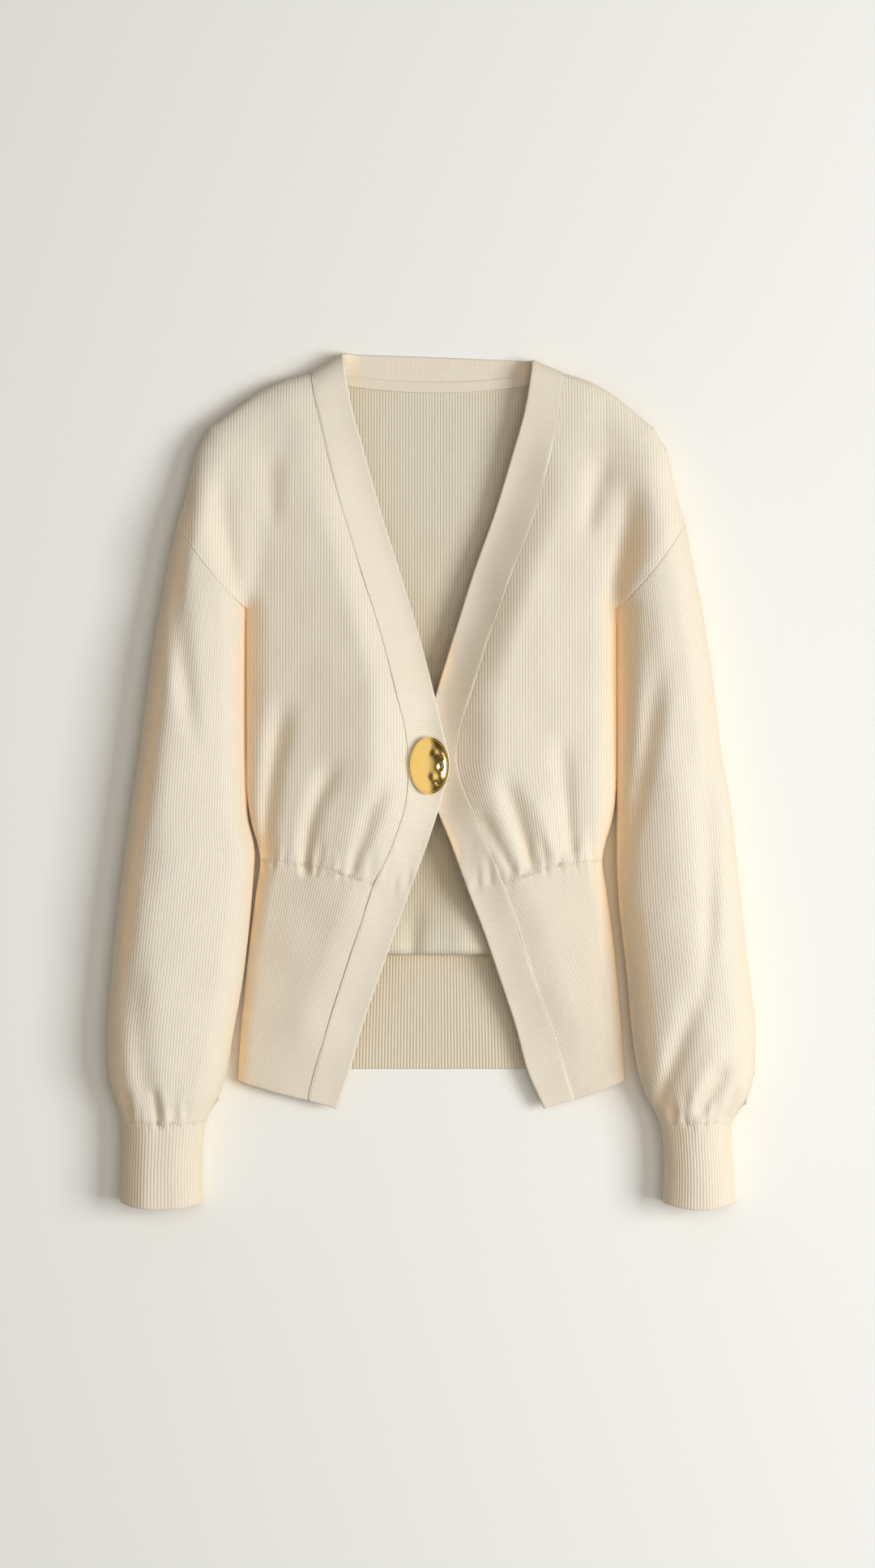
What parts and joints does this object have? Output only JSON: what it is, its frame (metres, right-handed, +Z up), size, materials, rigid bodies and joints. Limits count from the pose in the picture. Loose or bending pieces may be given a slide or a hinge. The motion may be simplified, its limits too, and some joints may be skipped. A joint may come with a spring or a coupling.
{
  "type": "v-neck cardigan sweater with one button",
  "caption": "V-neck knit cardigan laid on its back: full sleeves in ribbed cuffs, blousing body, deep ribbed waistband, oval gold button.",
  "frame": {"origin": "middle of the cardigan's footprint, on the table it lies on", "axes": "+Z up from the table, through the front; +Y from the hem to the neck; +X towards the wearer's left sleeve"},
  "size_m": [0.5453, 0.7213, 0.0557],
  "materials": {
    "body_knit": "fine rib knit, matt, cream",
    "rib_knit": "ribbed knit, matt, cream",
    "band_knit": "close smooth knit, matt, cream",
    "hammered_gold": "polished, hammered, gold coloured"
  },
  "bodies": {
    "root": {"front_right": "body_knit", "front_left": "body_knit", "back": "body_knit", "sleeve_right": "body_knit", "sleeve_left": "body_knit", "cuff_right": "rib_knit", "cuff_left": "rib_knit", "waistband_back": "rib_knit", "waistband_front_right": "rib_knit", "waistband_front_left": "rib_knit", "band_right": "band_knit", "band_left": "band_knit", "neckband_back": "band_knit", "neck_tape": "band_knit", "button": "hammered_gold"}
  },
  "joints": []
}
